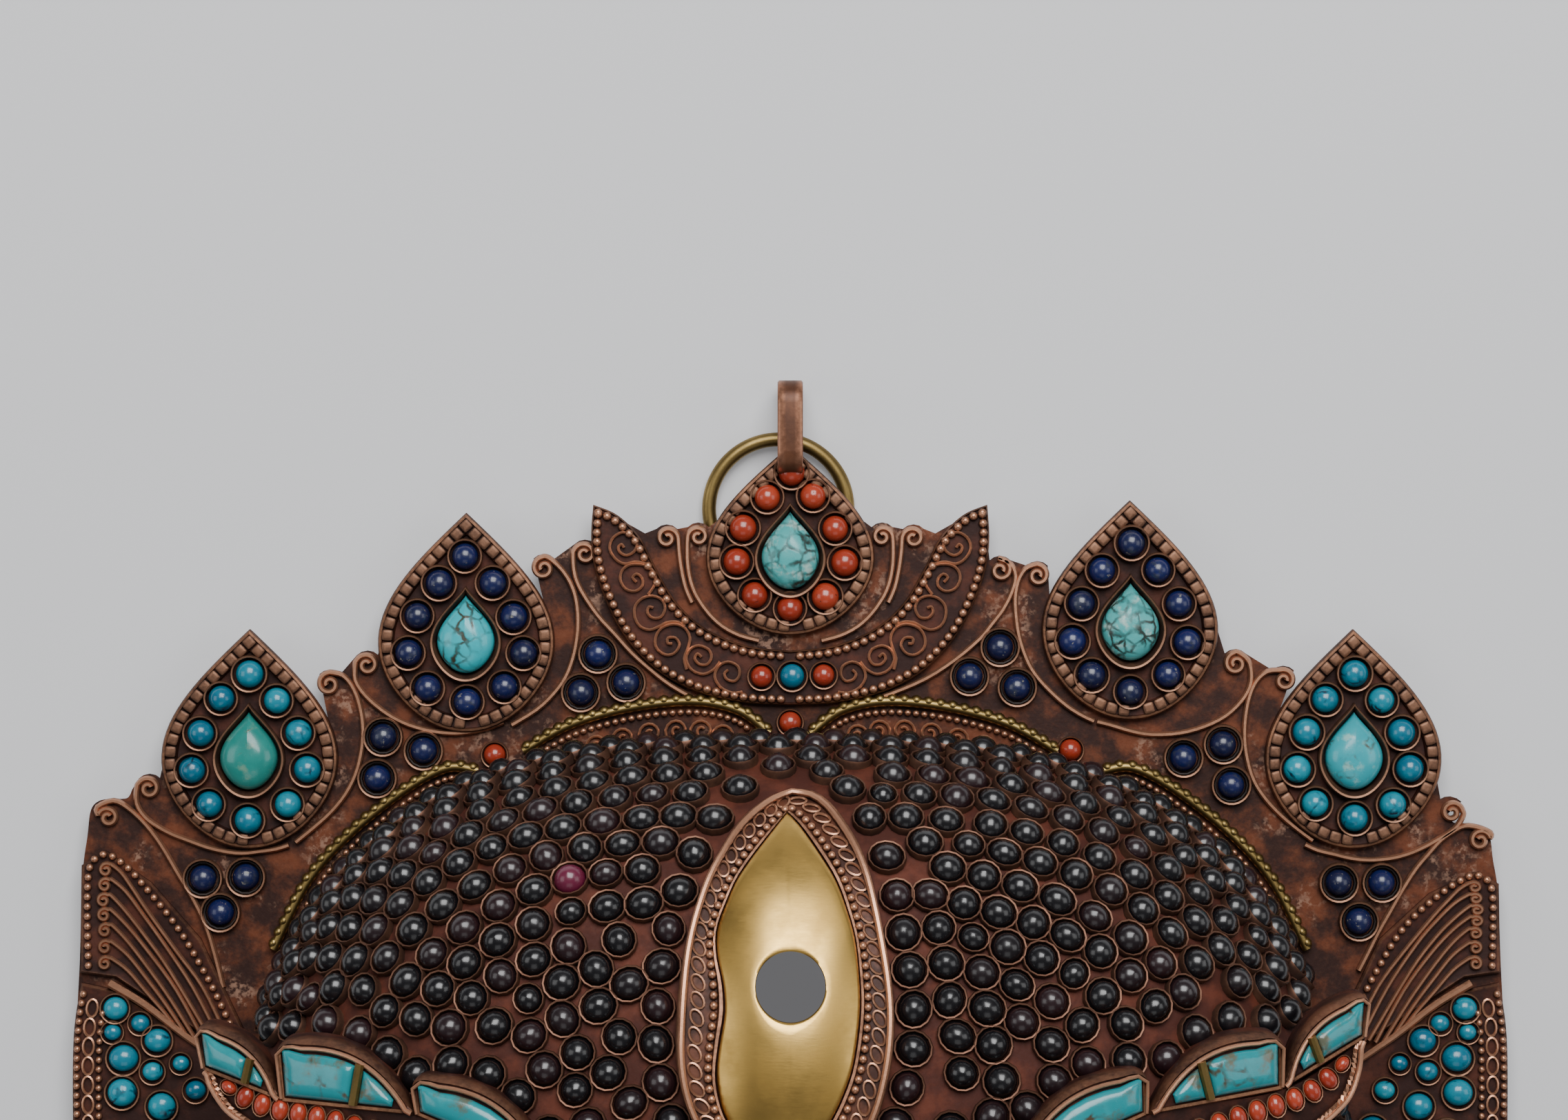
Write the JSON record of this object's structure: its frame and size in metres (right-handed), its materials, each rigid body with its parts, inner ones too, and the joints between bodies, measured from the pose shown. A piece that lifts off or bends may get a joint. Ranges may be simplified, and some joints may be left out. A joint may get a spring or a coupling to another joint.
{
  "type": "ritual mask",
  "caption": "Hollow ritual mask of copper sheet with a leaf crown, third eye, flame brows and inlaid stones, lying face up.",
  "frame": {"origin": "on the floor under the middle of the bounding box", "axes": "+Z out of the face, +Y towards the crown, +X to the viewer's right"},
  "size_m": [0.3006, 0.3376, 0.0919],
  "materials": {
    "aged_copper": "dark red-brown patina, rubbed bright on edges",
    "polished_brass": "brushed, softly polished",
    "turquoise": "polished, dark veins",
    "coral": "polished",
    "conch_shell": "satin"
  },
  "bodies": {
    "root": {"face_shell": "aged_copper", "nose": "aged_copper", "brow_left": "aged_copper", "brow_right": "aged_copper", "third_eye_frame": "aged_copper", "left_eye_frame": "aged_copper", "right_eye_frame": "aged_copper", "moustache_left": "aged_copper", "moustache_right": "aged_copper", "beard_left": "aged_copper", "beard_right": "aged_copper", "crown_sheet": "aged_copper", "crown_leaf_1": "aged_copper", "crown_leaf_2": "aged_copper", "crown_leaf_3": "aged_copper", "crown_leaf_4": "aged_copper", "crown_leaf_5": "aged_copper", "crescent": "aged_copper", "wing_fan_left": "aged_copper", "wing_fan_right": "aged_copper", "ear_panel_left": "aged_copper", "ear_panel_right": "aged_copper", "hanging_bail": "aged_copper", "lips": "aged_copper", "third_eye": "polished_brass", "left_eye": "polished_brass", "right_eye": "polished_brass", "hairline_wire_inner_left": "polished_brass", "hairline_wire_inner_right": "polished_brass", "hairline_wire_outer_left": "polished_brass", "hairline_wire_outer_right": "polished_brass", "hanging_ring": "polished_brass", "leaf_drop_1": "turquoise", "leaf_drop_2": "turquoise", "leaf_drop_3": "turquoise", "leaf_drop_4": "turquoise", "leaf_drop_5": "turquoise", "brow_turquoise_left_1": "turquoise", "brow_turquoise_left_2": "turquoise", "brow_turquoise_left_3": "turquoise", "brow_turquoise_left_4": "turquoise", "brow_turquoise_left_5": "turquoise", "brow_turquoise_right_1": "turquoise", "brow_turquoise_right_2": "turquoise", "brow_turquoise_right_3": "turquoise", "brow_turquoise_right_4": "turquoise", "brow_turquoise_right_5": "turquoise", "teeth_upper": "conch_shell", "teeth_lower": "conch_shell"}
  },
  "joints": []
}
